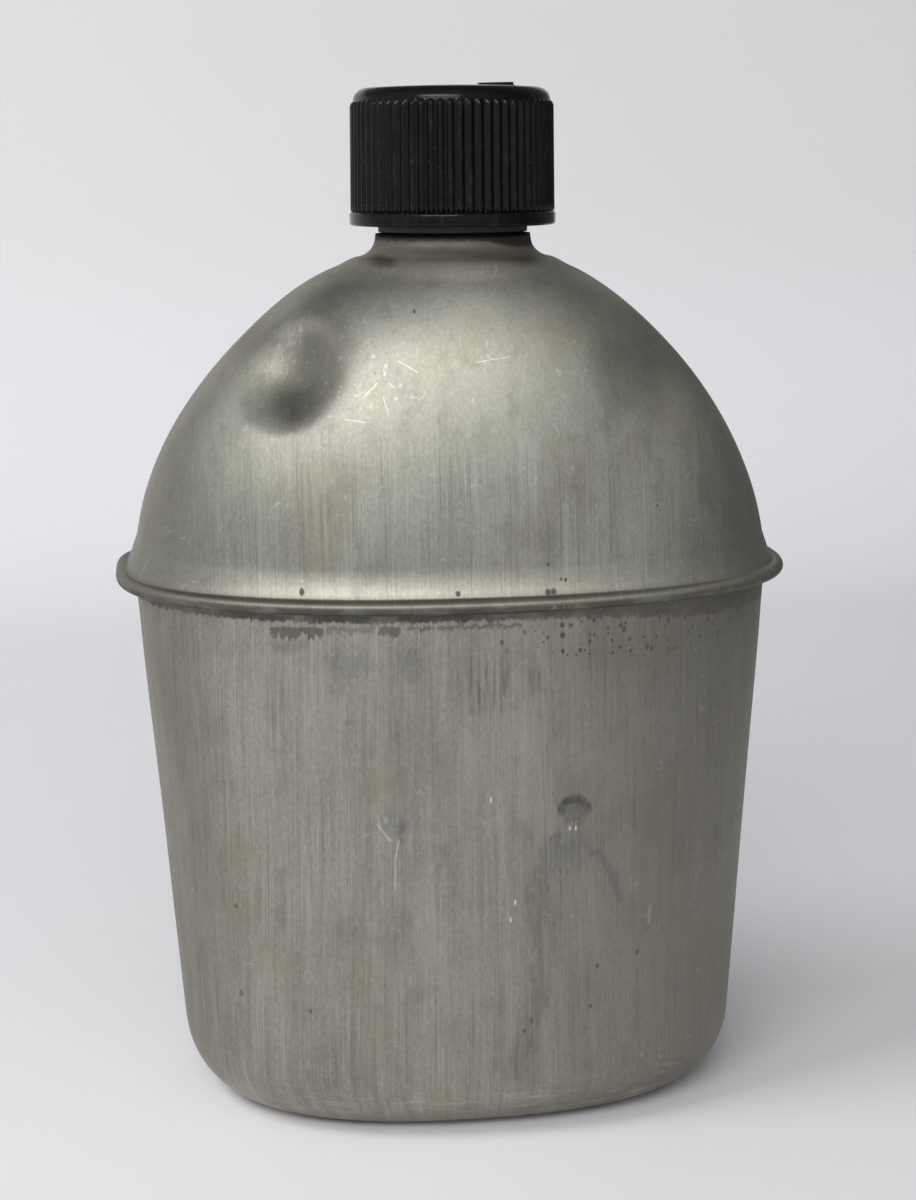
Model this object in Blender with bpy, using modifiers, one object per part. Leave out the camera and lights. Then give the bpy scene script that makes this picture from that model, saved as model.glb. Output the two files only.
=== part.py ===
"""A one-quart steel canteen, modelled in metres with +Z up and its front towards -Y.

Two drawn steel shells meet at a horizontal seam, where the upper shell's flange is folded
round the lower one's. A threaded collar stands in the upper shell's lip, and a ribbed,
moulded cap with a sealing disc screws down over it.
"""

from bisect import bisect_left
from math import atan2, cos, hypot, pi, radians, sin, tau

import bmesh
import bpy
from mathutils import Vector

# Sheet and clearances
SHEET = 0.0007  # thickness of the drawn steel
FIT_GAP = 0.0003  # between two pieces that rest on each other

# Outline of the body at the seam, a kidney that hugs the hip
BODY_WIDTH = 0.1283  # between the outer walls
FRONT_DEPTH = 0.0347  # from the section's centre line to the front wall
BACK_DEPTH = 0.0275  # from the centre line to the back wall
END_SWEEP = 0.0130  # how far both ends sweep towards the back
FRONT_SQUARENESS = 3.35  # 2 is an ellipse, more is squarer
BACK_SQUARENESS = 3.6

# Lower shell
SEAM_HEIGHT = 0.1062  # floor to the top of the lower shell's flange
BASE_WIDTH = 0.1113
BASE_FRONT_DEPTH = 0.0376
BASE_BACK_DEPTH = 0.0260
BASE_CORNER = 0.0135  # radius where the wall turns into the base
FOOT_WIDTH = 0.0040  # flat ring that the canteen stands on
DISH_RAMP = 0.0030  # slope from the foot up to the dished middle
DISH_HEIGHT = 0.0015
FLANGE_BEND = 0.0008  # outer radius where the wall turns into the flange

# Hemmed rim
RIM_REACH = 0.0038  # how far the rim stands out from the wall
HEM_SETBACK = 0.0012  # from the wall to the end of the folded-under strip
SHOULDER_FILLET = 0.0020  # where the rim turns up into the dome

# Upper shell
DOME_HEIGHT = 0.0614  # seam to the level land round the neck
DOME_RISE_POWER = 1.82  # shape of the dome's profile, upwards
DOME_WIDTH_POWER = 1.34  # shape of the dome's profile, inwards
LIP_RADIUS = 0.0151  # outside of the upturned lip that holds the collar
NECK_FLARE = 0.0039  # radius of the flare between the dome and the lip
LIP_HEIGHT = 0.0014  # straight part of the lip, above the flare

# Neck collar
NECK_SETBACK = 0.0015  # neck axis, behind the section's centre line
NECK_HEIGHT = 0.0228  # lip to the mouth
NECK_WALL = 0.0015  # at the bottom of the thread
COLLAR_TAIL = 0.0060  # length that stands inside the lip
TAIL_WALL = 0.0008
COLLAR_CLEARANCE = 0.0005  # radial, inside the lip
MOUTH_ROUND = 0.0005
THREAD_PITCH = 0.0050
THREAD_DEPTH = 0.0012
THREAD_FADE = 0.0015  # length over which each end of a thread dies away
NECK_THREAD_START = 0.0045  # above the lip
NECK_THREAD_STOP = 0.0015  # below the mouth

# Cap
THREAD_CLEARANCE = 0.0004  # radial, between the cap's thread and the neck's
CAP_STANDOFF = 0.0016  # lip to the cap's lower edge
CAP_WALL = 0.00295  # from the bottom of the thread to the bottom of the ribs
RING_HEIGHT = 0.0027  # smooth ring at the bottom
RING_STANDS = 0.0004  # beyond the ribs at their top end
RIB_COUNT = 66
RIB_DEPTH = 0.0006
RIB_DRAFT = 0.0002  # how much wider the ribs are at their lower end
RIB_RUNOUT = 0.0004  # slope at the top end of a rib
CROWN_THICKNESS = 0.0028
CROWN_ROUND = 0.0025  # radius round the edge of the crown
CROWN_RISE = 0.0005  # how much the crown domes up in the middle
MOUTH_RELIEF = 0.0020  # plain bore below the cap's thread
LINER_THICKNESS = 0.0020
LINER_CLEARANCE = 0.0004  # radial, inside the cap
LINER_EDGE = 0.0003

# Remains of the moulded chain lug on the crown
LUG_OFFSET = 0.0085
LUG_LENGTH = 0.0076
LUG_WIDTH = 0.0036
LUG_STANDS = 0.0009
LUG_ROOT = 0.0009  # depth that is merged into the crown
LUG_EDGE = 0.0004

# Facets
BODY_COLUMNS = 48
NECK_COLUMNS = 36
THREAD_ROWS = 6  # in each pitch
DOME_ROWS = 9
CORNER_STEPS = 5
BEND_STEPS = 3
FOLD_STEPS = 5
OUTLINE_SAMPLES = 1440

# Sizes that follow from the ones above
RIM_TOP = SEAM_HEIGHT + FIT_GAP + SHEET
FOLD_RADIUS = (3 * SHEET + 2 * FIT_GAP) / 2
LAND_HEIGHT = SEAM_HEIGHT + DOME_HEIGHT
LIP_TOP = LAND_HEIGHT + NECK_FLARE + LIP_HEIGHT
MOUTH_HEIGHT = LIP_TOP + NECK_HEIGHT
CAP_BOTTOM = LIP_TOP + CAP_STANDOFF
CROWN_UNDERSIDE = MOUTH_HEIGHT + LINER_THICKNESS + 2 * FIT_GAP
CAP_TOP = CROWN_UNDERSIDE + CROWN_THICKNESS
TAIL_RADIUS = LIP_RADIUS - SHEET - COLLAR_CLEARANCE
BORE_RADIUS = TAIL_RADIUS - TAIL_WALL
NECK_RADIUS = BORE_RADIUS + NECK_WALL
CAP_BORE = NECK_RADIUS + THREAD_DEPTH + THREAD_CLEARANCE
RIB_ROOT = CAP_BORE + CAP_WALL
RIB_RADIUS = RIB_ROOT + RIB_DEPTH
CAP_RADIUS = RIB_RADIUS + RING_STANDS


def clear_scene():
    for item in list(bpy.data.objects):
        bpy.data.objects.remove(item, do_unlink=True)


def steps(first, last, count):
    """count + 1 even values from first to last."""
    return [first + (last - first) * index / count for index in range(count + 1)]


def signed_power(value, power):
    return (abs(value) ** power) * (1 if value >= 0 else -1)


def outline_point(turn, width, front, back, reach=0.0):
    """Point of the kidney outline at an angle, moved out by reach along its normal."""

    def on_curve(angle):
        squareness = BACK_SQUARENESS if sin(angle) >= 0 else FRONT_SQUARENESS
        depth = back if sin(angle) >= 0 else front
        x = width / 2 * signed_power(cos(angle), 2 / squareness)
        sweep = END_SWEEP * (2 * x / BODY_WIDTH) ** 2
        return Vector((x, depth * signed_power(sin(angle), 2 / squareness) + sweep))

    point = on_curve(turn)
    if reach:
        nudge = tau / OUTLINE_SAMPLES / 2
        along = on_curve(turn + nudge) - on_curve(turn - nudge)
        point += Vector((along.y, -along.x)).normalized() * reach
    return point


def even_turns(count):
    """Angles that are evenly spaced along the outline, from the middle of the back."""
    angles = [pi / 2 + tau * index / OUTLINE_SAMPLES for index in range(OUTLINE_SAMPLES + 1)]
    points = [outline_point(a, BODY_WIDTH, FRONT_DEPTH, BACK_DEPTH) for a in angles]
    lengths = [0.0]
    for before, after in zip(points, points[1:]):
        lengths.append(lengths[-1] + (after - before).length)
    turns = []
    for index in range(count):
        goal = lengths[-1] * index / count
        after = max(bisect_left(lengths, goal), 1)
        share = (goal - lengths[after - 1]) / (lengths[after] - lengths[after - 1])
        turns.append(angles[after - 1] + share * (angles[after] - angles[after - 1]))
    return turns


TURNS = even_turns(BODY_COLUMNS)
NECK_TURNS = [tau * index / NECK_COLUMNS for index in range(NECK_COLUMNS)]


def body_ring(z, width, front, back, reach=0.0):
    return [(*outline_point(t, width, front, back, reach), z) for t in TURNS]


def wall_ring(z, inset=0.0, reach=0.0):
    """Ring of the lower shell, whose wall tapers evenly from the seam to the base."""
    share = z / SEAM_HEIGHT
    width = BASE_WIDTH + (BODY_WIDTH - BASE_WIDTH) * share - 2 * inset
    front = BASE_FRONT_DEPTH + (FRONT_DEPTH - BASE_FRONT_DEPTH) * share - inset
    back = BASE_BACK_DEPTH + (BACK_DEPTH - BASE_BACK_DEPTH) * share - inset
    return body_ring(z, width, front, back, reach)


def dome_ring(climb, reach=0.0):
    """Ring of the dome: climb runs from 0 at the seam to a quarter turn at the neck."""
    rise = sin(climb) ** (2 / DOME_RISE_POWER)
    share = max(cos(climb), 0.0) ** (2 / DOME_WIDTH_POWER)
    ring = []
    for turn in TURNS:
        body = outline_point(turn, BODY_WIDTH, FRONT_DEPTH, BACK_DEPTH, reach)
        neck = Vector((cos(turn), sin(turn))) * (LIP_RADIUS + NECK_FLARE)
        neck.y += NECK_SETBACK
        ring.append((*body.lerp(neck, 1 - share), SEAM_HEIGHT + DOME_HEIGHT * rise))
    return ring


def lip_ring(radius, z):
    return [(radius * cos(t), radius * sin(t) + NECK_SETBACK, z) for t in TURNS]


def rim_extent():
    """Lowest and highest Y of the rim, round the section's centre line."""
    count = OUTLINE_SAMPLES
    ys = [
        outline_point(tau * i / count, BODY_WIDTH, FRONT_DEPTH, BACK_DEPTH, RIM_REACH).y
        for i in range(count)
    ]
    return min(ys), max(ys)


BODY_Y = -sum(rim_extent()) / 2  # centres the whole object on the origin
NECK_Y = BODY_Y + NECK_SETBACK


def make_mesh(name, rings, loop=False, start_cap=False, end_cap=False):
    """Skin over rings of equal counts. Rings that run outwards, upwards and back in face out."""
    bm = bmesh.new()
    rows = [[bm.verts.new(point) for point in ring] for ring in rings]
    pairs = list(zip(rows, rows[1:]))
    if loop:
        pairs.append((rows[-1], rows[0]))
    for low, high in pairs:
        for here in range(len(low)):
            there = (here + 1) % len(low)
            bm.faces.new((low[here], low[there], high[there], high[here]))
    if start_cap:
        bm.faces.new(reversed(rows[0]))
    if end_cap:
        bm.faces.new(rows[-1])
    mesh = bpy.data.meshes.new(name)
    bm.to_mesh(mesh)
    bm.free()
    return mesh


def finish_mesh(mesh):
    mesh.shade_smooth()
    mesh.set_sharp_from_angle(angle=radians(40))


def add_object(name, mesh, place, collection, material=None):
    item = bpy.data.objects.new(name, mesh)
    item.location = place
    collection.objects.link(item)
    if material:
        mesh.materials.append(material)
    return item


def add_cutter(name, mesh, place, collection):
    cutter = add_object(name, mesh, place, collection)
    cutter.hide_render = True
    cutter.display_type = "WIRE"
    return cutter


def turned_mesh(name, profile, count):
    """Solid of revolution about Z, from a profile that runs down its outer side."""
    mesh = bpy.data.meshes.new(name)
    points = [(radius, 0, z) for radius, z in profile]
    mesh.from_pydata(points, [(i, i + 1) for i in range(len(points) - 1)], [])
    blank = bpy.data.objects.new(name, mesh)
    bpy.context.scene.collection.objects.link(blank)
    screw = blank.modifiers.new("turn", "SCREW")
    screw.steps = count
    screw.render_steps = count
    screw.use_merge_vertices = True
    screw.merge_threshold = 1e-5
    graph = bpy.context.evaluated_depsgraph_get()
    turned = bpy.data.meshes.new_from_object(blank.evaluated_get(graph))
    bpy.data.objects.remove(blank)
    return turned


def boolean(item, other, operation):
    change = item.modifiers.new(other.name, "BOOLEAN")
    change.operation = operation
    change.solver = "EXACT"
    change.object = other


def add_wall(item):
    wall = item.modifiers.new("sheet", "SOLIDIFY")
    wall.thickness = SHEET
    wall.offset = -1
    wall.use_even_offset = True


def lower_shell(collection, material):
    """Drawn cup: dished base, foot ring, tapering wall and a flange at the top."""
    middle = BASE_CORNER + FOOT_WIDTH + DISH_RAMP
    rings = [wall_ring(DISH_HEIGHT, inset=middle)]
    rings.append(wall_ring(DISH_HEIGHT / 2, inset=middle - DISH_RAMP / 2))
    rings.append(wall_ring(0, inset=BASE_CORNER + FOOT_WIDTH))
    for angle in steps(0, pi / 2, CORNER_STEPS):
        z = BASE_CORNER * (1 - cos(angle))
        rings.append(wall_ring(z, inset=BASE_CORNER * (1 - sin(angle))))
    underside = SEAM_HEIGHT - SHEET
    for z in steps(BASE_CORNER, underside - FLANGE_BEND, BEND_STEPS)[1:-1]:
        rings.append(wall_ring(z))
    for angle in steps(0, pi / 2, BEND_STEPS):
        z = underside - FLANGE_BEND * (1 - sin(angle))
        rings.append(wall_ring(z, reach=FLANGE_BEND * (1 - cos(angle))))
    rings.append(wall_ring(underside, reach=RIM_REACH - FOLD_RADIUS))
    mesh = make_mesh("lower_shell", rings, start_cap=True)
    shell = add_object("lower_shell", mesh, (0, BODY_Y, 0), collection, material)
    add_wall(shell)
    finish_mesh(mesh)
    return shell


def upper_shell(collection, material):
    """Drawn dome: the strip folded under the rim, the rim, the dome, the flare and the lip."""
    rim_middle = RIM_TOP - FOLD_RADIUS
    fold_centre = RIM_REACH - FOLD_RADIUS
    rings = [dome_ring(0, HEM_SETBACK)]
    rings[0] = [(x, y, RIM_TOP - 2 * FOLD_RADIUS) for x, y, z in rings[0]]
    for angle in steps(-pi / 2, pi / 2, FOLD_STEPS):
        ring = dome_ring(0, fold_centre + FOLD_RADIUS * cos(angle))
        height = rim_middle + FOLD_RADIUS * sin(angle)
        rings.append([(x, y, height) for x, y, z in ring])
    for angle in steps(0, pi / 2, BEND_STEPS)[:-1]:
        ring = dome_ring(0, SHOULDER_FILLET * (1 - sin(angle)))
        height = RIM_TOP + SHOULDER_FILLET * (1 - cos(angle))
        rings.append([(x, y, height) for x, y, z in ring])
    first_rise = (RIM_TOP + SHOULDER_FILLET - SEAM_HEIGHT) / DOME_HEIGHT
    first_climb = first_rise ** (DOME_RISE_POWER / 2)
    rings.extend(dome_ring(climb) for climb in steps(first_climb, pi / 2, DOME_ROWS))
    for angle in steps(0, pi / 2, CORNER_STEPS)[1:]:
        radius = LIP_RADIUS + NECK_FLARE * (1 - sin(angle))
        rings.append(lip_ring(radius, LAND_HEIGHT + NECK_FLARE * (1 - cos(angle))))
    rings.append(lip_ring(LIP_RADIUS, LIP_TOP))
    mesh = make_mesh("upper_shell", rings)
    shell = add_object("upper_shell", mesh, (0, BODY_Y, 0), collection, material)
    add_wall(shell)
    finish_mesh(mesh)
    return shell


def thread_ridge(turn, z):
    """Height of the neck's right-hand thread, from 0 in its groove to 1 on its crest."""
    return 0.5 + 0.5 * cos(tau * (z / THREAD_PITCH - turn / tau))


def fade(z, low, high):
    """1 between low and high, and 0 outside, over THREAD_FADE at both ends."""
    return max(0.0, min(1.0, (z - low) / THREAD_FADE, (high - z) / THREAD_FADE))


def round_ring(radius, z):
    return [(radius * cos(t), radius * sin(t), z) for t in NECK_TURNS]


def thread_rows(low, high):
    count = max(round((high - low) / THREAD_PITCH * THREAD_ROWS), 2)
    return steps(low, high, count)


def neck_collar(collection, material):
    """Threaded spout that stands in the shell's lip and rests on its edge."""
    seat = LIP_TOP + FIT_GAP
    low = LIP_TOP + NECK_THREAD_START
    high = MOUTH_HEIGHT - NECK_THREAD_STOP
    rings = [round_ring(TAIL_RADIUS, LIP_TOP - COLLAR_TAIL)]
    rings.append(round_ring(TAIL_RADIUS, seat))
    rings.append(round_ring(NECK_RADIUS, seat))
    for z in thread_rows(low, high):
        height = THREAD_DEPTH * fade(z, low, high)
        radii = [NECK_RADIUS + height * thread_ridge(turn, z) for turn in NECK_TURNS]
        rings.append([(r * cos(t), r * sin(t), z) for r, t in zip(radii, NECK_TURNS)])
    rings.append(round_ring(NECK_RADIUS, MOUTH_HEIGHT - MOUTH_ROUND))
    rings.append(round_ring(NECK_RADIUS - MOUTH_ROUND, MOUTH_HEIGHT))
    rings.append(round_ring(BORE_RADIUS + MOUTH_ROUND, MOUTH_HEIGHT))
    rings.append(round_ring(BORE_RADIUS, MOUTH_HEIGHT - MOUTH_ROUND))
    rings.append(round_ring(BORE_RADIUS, LIP_TOP - COLLAR_TAIL))
    mesh = make_mesh("neck_collar", rings, loop=True)
    finish_mesh(mesh)
    return add_object("neck_collar", mesh, (0, NECK_Y, 0), collection, material)


def cap_liner(collection, material):
    """Sealing disc between the neck's mouth and the cap's crown."""
    radius = CAP_BORE - LINER_CLEARANCE
    bottom = MOUTH_HEIGHT + FIT_GAP
    top = bottom + LINER_THICKNESS
    profile = [
        (0, top),
        (radius - LINER_EDGE, top),
        (radius, top - LINER_EDGE),
        (radius, bottom + LINER_EDGE),
        (radius - LINER_EDGE, bottom),
        (0, bottom),
    ]
    mesh = turned_mesh("cap_liner", profile, NECK_COLUMNS)
    finish_mesh(mesh)
    return add_object("cap_liner", mesh, (0, NECK_Y, 0), collection, material)


def cap_blank():
    """Solid outside of the cap: crown, ribbed side and smooth bottom ring."""
    shoulder = CAP_TOP - CROWN_RISE - CROWN_ROUND
    ring_top = CAP_BOTTOM + RING_HEIGHT
    profile = [(0, CAP_TOP)]
    for angle in steps(pi / 2, 0, BEND_STEPS):
        radius = RIB_ROOT - CROWN_ROUND * (1 - cos(angle))
        profile.append((radius, shoulder + CROWN_ROUND * sin(angle)))
    profile.append((RIB_RADIUS, shoulder - RIB_RUNOUT))
    profile.append((RIB_RADIUS + RIB_DRAFT, ring_top))
    profile.append((CAP_RADIUS, ring_top))
    profile.append((CAP_RADIUS, CAP_BOTTOM))
    profile.append((0, CAP_BOTTOM))
    mesh = turned_mesh("cap", profile, 2 * RIB_COUNT)
    for vertex in mesh.vertices:
        x, y, z = vertex.co
        radius = hypot(x, y)
        on_rib = RIB_ROOT + RIB_DEPTH / 2 < radius < RIB_RADIUS + RIB_DRAFT * 1.5
        column = round(atan2(y, x) / tau * 2 * RIB_COUNT)
        if on_rib and column % 2:
            vertex.co.xy *= 1 - RIB_DEPTH / radius
    return mesh


def cap_hollow():
    """Inside of the cap: a mouth, a thread that matches the neck's, and the liner's seat."""
    low = CAP_BOTTOM + MOUTH_RELIEF
    high = MOUTH_HEIGHT - THREAD_FADE
    rings = [round_ring(CAP_BORE, CAP_BOTTOM - MOUTH_RELIEF)]
    for z in thread_rows(low, high):
        height = THREAD_DEPTH * fade(z, low, high)
        radii = [CAP_BORE - height * (1 - thread_ridge(turn, z)) for turn in NECK_TURNS]
        rings.append([(r * cos(t), r * sin(t), z) for r, t in zip(radii, NECK_TURNS)])
    rings.append(round_ring(CAP_BORE, CROWN_UNDERSIDE))
    return make_mesh("cap_hollow", rings, start_cap=True, end_cap=True)


def lug_remains():
    """Low broken stump of the lug that once held a chain."""
    bm = bmesh.new()
    bmesh.ops.create_cube(bm, size=1)
    size = Vector((LUG_LENGTH, LUG_WIDTH, LUG_STANDS + LUG_ROOT))
    middle = Vector((LUG_OFFSET, 0, CAP_TOP - CROWN_RISE + (LUG_STANDS - LUG_ROOT) / 2))
    for vertex in bm.verts:
        vertex.co = vertex.co * size + middle
    bmesh.ops.bevel(bm, geom=list(bm.edges), offset=LUG_EDGE, segments=2, affect="EDGES")
    mesh = bpy.data.meshes.new("lug_remains")
    bm.to_mesh(mesh)
    bm.free()
    return mesh


def cap(collection, cutters, material):
    place = (0, NECK_Y, 0)
    mesh = cap_blank()
    item = add_object("cap", mesh, place, collection, material)
    boolean(item, add_cutter("cap_hollow", cap_hollow(), place, cutters), "DIFFERENCE")
    boolean(item, add_cutter("lug_remains", lug_remains(), place, cutters), "UNION")
    finish_mesh(mesh)
    return item


def make_material(name, colour, roughness, metallic):
    material = bpy.data.materials.new(name)
    material.use_nodes = True
    shader = material.node_tree.nodes["Principled BSDF"]
    shader.inputs["Base Color"].default_value = (*colour, 1)
    shader.inputs["Roughness"].default_value = roughness
    shader.inputs["Metallic"].default_value = metallic
    return material


def make_collection(name):
    collection = bpy.data.collections.new(name)
    bpy.context.scene.collection.children.link(collection)
    return collection


clear_scene()
canteen = make_collection("canteen")
cutters = make_collection("cutters")
steel = make_material("brushed stainless steel", (0.40, 0.39, 0.36), 0.38, 1.0)
phenolic = make_material("black moulded phenolic", (0.012, 0.012, 0.011), 0.30, 0.0)
rubber = make_material("grey rubber", (0.10, 0.09, 0.08), 0.80, 0.0)

neck_axis = bpy.data.objects.new("neck_axis", None)
neck_axis.location = (0, NECK_Y, 0)
canteen.objects.link(neck_axis)

lower_shell(canteen, steel)
upper_shell(canteen, steel)
on_neck = [
    neck_collar(canteen, steel),
    cap_liner(canteen, rubber),
    cap(canteen, cutters, phenolic),
]
for item in on_neck:
    item.parent = neck_axis
    item.location = (0, 0, 0)
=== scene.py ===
"""A worn one-quart steel canteen with a ribbed black screw cap, on a pale studio floor."""

from bisect import bisect_left
from math import cos, hypot, pi, radians, sin, tau

import bmesh
import bpy
from mathutils import Matrix, Vector, noise


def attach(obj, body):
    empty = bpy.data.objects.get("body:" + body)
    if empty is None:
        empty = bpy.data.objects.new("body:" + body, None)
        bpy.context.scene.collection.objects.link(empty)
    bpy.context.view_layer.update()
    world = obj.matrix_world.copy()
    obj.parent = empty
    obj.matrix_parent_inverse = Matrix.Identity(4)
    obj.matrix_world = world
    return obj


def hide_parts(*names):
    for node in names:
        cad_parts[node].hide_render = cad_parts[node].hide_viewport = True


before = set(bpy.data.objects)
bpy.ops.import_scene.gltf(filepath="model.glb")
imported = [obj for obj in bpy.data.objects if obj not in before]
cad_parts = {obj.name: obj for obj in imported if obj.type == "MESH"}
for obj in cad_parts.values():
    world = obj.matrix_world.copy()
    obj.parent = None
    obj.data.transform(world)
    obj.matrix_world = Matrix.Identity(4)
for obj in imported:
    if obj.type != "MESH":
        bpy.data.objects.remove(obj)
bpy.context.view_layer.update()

# Camera: a short telephoto, a hand's breadth above the shoulder, tipped down a little and
# set a few degrees to the left of the canteen's front.
centre_line_y = 0.0015  # middle of the kidney section, behind the frame's origin
camera_distance = 0.4358
camera_side = 0.0003
camera_height = 0.1869
camera_turn = radians(7.50)
camera_tip = radians(11.30)
camera_roll = radians(0.44)
lens_mm = 66.06

camera_data = bpy.data.cameras.new("camera")
camera_data.lens = lens_mm
camera_data.sensor_width = 36
camera_data.clip_start = 0.01
camera = bpy.data.objects.new("camera", camera_data)
forward = Vector((sin(camera_turn), cos(camera_turn), 0))
across = Vector((cos(camera_turn), -sin(camera_turn), 0))
spot = across * camera_side - forward * camera_distance
view = forward * cos(camera_tip) - Vector((0, 0, sin(camera_tip)))
up = across.cross(view)
right = across * cos(camera_roll) - up * sin(camera_roll)
up = up * cos(camera_roll) + across * sin(camera_roll)
turn_in = Matrix((right, up, -view)).transposed().to_4x4()
camera.matrix_world = Matrix.Translation((spot.x, spot.y + centre_line_y, camera_height)) @ turn_in
bpy.context.scene.collection.objects.link(camera)
bpy.context.scene.camera = camera

# Studio: a white paper sweep that runs from the floor up the wall, a soft strip lamp at the
# upper left, a second lamp that lights the paper only, and a pale room all round that gets
# darker towards the right, the back and overhead.
sweep_front = -1.6
sweep_back = 0.62
sweep_bend = 0.16
sweep_bend_steps = 12
sweep_left = -1.8
sweep_right = 0.36
sweep_height = 0.5
wall_from = 0.3  # height at which the paper has its full wall colour
floor_colour = "#e6e6e9"
wall_colour = "#dddcdb"


def linear(hex_colour):
    """Linear RGBA of an sRGB hex colour."""
    parts = [int(hex_colour[i : i + 2], 16) / 255 for i in (1, 3, 5)]
    return (*[p / 12.92 if p <= 0.04045 else ((p + 0.055) / 1.055) ** 2.4 for p in parts], 1)


def plug(tree, node, inputs):
    """Sets or links a node's inputs: values, sockets or fields by socket name or number."""
    for key, value in dict(inputs).items():
        socket = node.inputs[key]
        value = getattr(value, "socket", value)
        if isinstance(value, bpy.types.NodeSocket):
            tree.links.new(value, socket)
        else:
            socket.default_value = value


def add_node(tree, kind, inputs=(), **settings):
    node = tree.nodes.new(kind)
    for key, value in settings.items():
        setattr(node, key, value)
    plug(tree, node, inputs)
    return node


class Field:
    """A number that varies from place to place: a node's socket, for sums with + - * /."""

    def __init__(self, tree, socket):
        self.tree = tree
        self.socket = socket

    def then(self, operation, *others):
        sockets = dict(enumerate((self, *others)))
        node = add_node(self.tree, "ShaderNodeMath", sockets, operation=operation)
        return Field(self.tree, node.outputs[0])

    def __add__(self, other):
        return self.then("ADD", other)

    def __sub__(self, other):
        return self.then("SUBTRACT", other)

    def __mul__(self, other):
        return self.then("MULTIPLY", other)

    def __truediv__(self, other):
        return self.then("DIVIDE", other)

    def fade(self, low, high, at_low=0.0, at_high=1.0):
        """Runs smoothly from at_low, where this is low, to at_high, where this is high."""
        sockets = {"Value": self, "From Min": low, "From Max": high}
        sockets.update({"To Min": at_low, "To Max": at_high})
        node = add_node(self.tree, "ShaderNodeMapRange", sockets, interpolation_type="SMOOTHSTEP")
        return Field(self.tree, node.outputs[0])

    def drop(self, full, none):
        """1 where this is full or less, falling smoothly to 0 where it reaches none."""
        return self.fade(full, none, 1.0, 0.0)

    def between(self, a, b):
        """A mix of a and b, with this as b's share."""
        node = add_node(self.tree, "ShaderNodeMix", {0: self, 2: a, 3: b})
        return Field(self.tree, node.outputs[0])


def split(tree, vector):
    """The three parts of a vector socket, as fields."""
    outputs = add_node(tree, "ShaderNodeSeparateXYZ", {0: vector}).outputs
    return [Field(tree, socket) for socket in outputs]


def new_material(name):
    """An empty material: its tree, and its Principled shader linked to the output."""
    material = bpy.data.materials.new(name)
    material.use_nodes = True
    material.node_tree.nodes.clear()
    shader = add_node(material.node_tree, "ShaderNodeBsdfPrincipled")
    add_node(material.node_tree, "ShaderNodeOutputMaterial", {"Surface": shader.outputs[0]})
    return material, material.node_tree, shader


profile = [(sweep_front, 0)]
for step in range(sweep_bend_steps + 1):
    angle = pi / 2 * step / sweep_bend_steps
    y = sweep_back - sweep_bend + sweep_bend * sin(angle)
    profile.append((y, sweep_bend * (1 - cos(angle))))
profile.append((sweep_back, sweep_height))
corners = [(x, y, z) for y, z in profile for x in (sweep_left, sweep_right)]
strips = [(2 * i, 2 * i + 1, 2 * i + 3, 2 * i + 2) for i in range(len(profile) - 1)]
sweep_mesh = bpy.data.meshes.new("paper_sweep")
sweep_mesh.from_pydata(corners, [], strips)
sweep_mesh.shade_smooth()
sweep = bpy.data.objects.new("paper_sweep", sweep_mesh)
bpy.context.scene.collection.objects.link(sweep)
paper, tree, shader = new_material("matt white paper")
position = add_node(tree, "ShaderNodeNewGeometry").outputs["Position"]
share = split(tree, position)[2].fade(0.0, wall_from)
shades = {0: share, 6: linear(floor_colour), 7: linear(wall_colour)}
shade = add_node(tree, "ShaderNodeMix", shades, data_type="RGBA").outputs[2]
plug(tree, shader, {"Base Color": shade, "Roughness": 0.85, "Specular IOR Level": 0.2})
sweep_mesh.materials.append(paper)


def add_lamp(name, place, target, size, watts, colour):
    data = bpy.data.lights.new(name, "AREA")
    data.shape = "RECTANGLE"
    data.size, data.size_y = size
    data.energy = watts
    data.color = linear(colour)[:3]
    lamp = bpy.data.objects.new(name, data)
    lamp.location = place
    lamp.rotation_euler = (Vector(target) - Vector(place)).to_track_quat("-Z", "Y").to_euler()
    bpy.context.scene.collection.objects.link(lamp)
    return lamp


key_place = (-0.32, -0.78, 0.65)
key_target = (0, 0, 0.13)
key_size = (0.70, 0.26)
key_watts = 4.4
top_place = (-0.75, -0.20, 0.95)
top_target = (0.05, 0.15, 0)
top_size = (0.45, 0.45)
top_watts = 5.0
add_lamp("key", key_place, key_target, key_size, key_watts, "#fffdf8")
top_lamp = add_lamp("top", top_place, top_target, top_size, top_watts, "#ffffff")
top_lamp.visible_glossy = False  # it leaves no second streak on the steel

world = bpy.data.worlds.new("room")
bpy.context.scene.world = world
world.use_nodes = True
tree = world.node_tree
tree.nodes.clear()
direction = add_node(tree, "ShaderNodeTexCoord").outputs["Generated"]


def room_share(towards, low, high):
    """0 to 1 as a direction turns towards the one given, between two cosines."""
    sockets = {0: direction, 1: Vector(towards).normalized()}
    facing = add_node(tree, "ShaderNodeVectorMath", sockets, operation="DOT_PRODUCT")
    return Field(tree, facing.outputs["Value"]).fade(low, high)


darkest = 0.19
brightest = 0.85
left_share = room_share((-0.58, -0.81, 0), -0.45, 0.9)
low_share = room_share((0, -0.8, -0.6), -1.15, -0.15)
glow = left_share * low_share * (brightest - darkest) + darkest
sockets = {"Color": linear("#fafbff"), "Strength": glow}
background = add_node(tree, "ShaderNodeBackground", sockets)
add_node(tree, "ShaderNodeOutputWorld", {"Surface": background.outputs[0]})
bpy.context.scene.view_settings.view_transform = "Standard"

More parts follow.
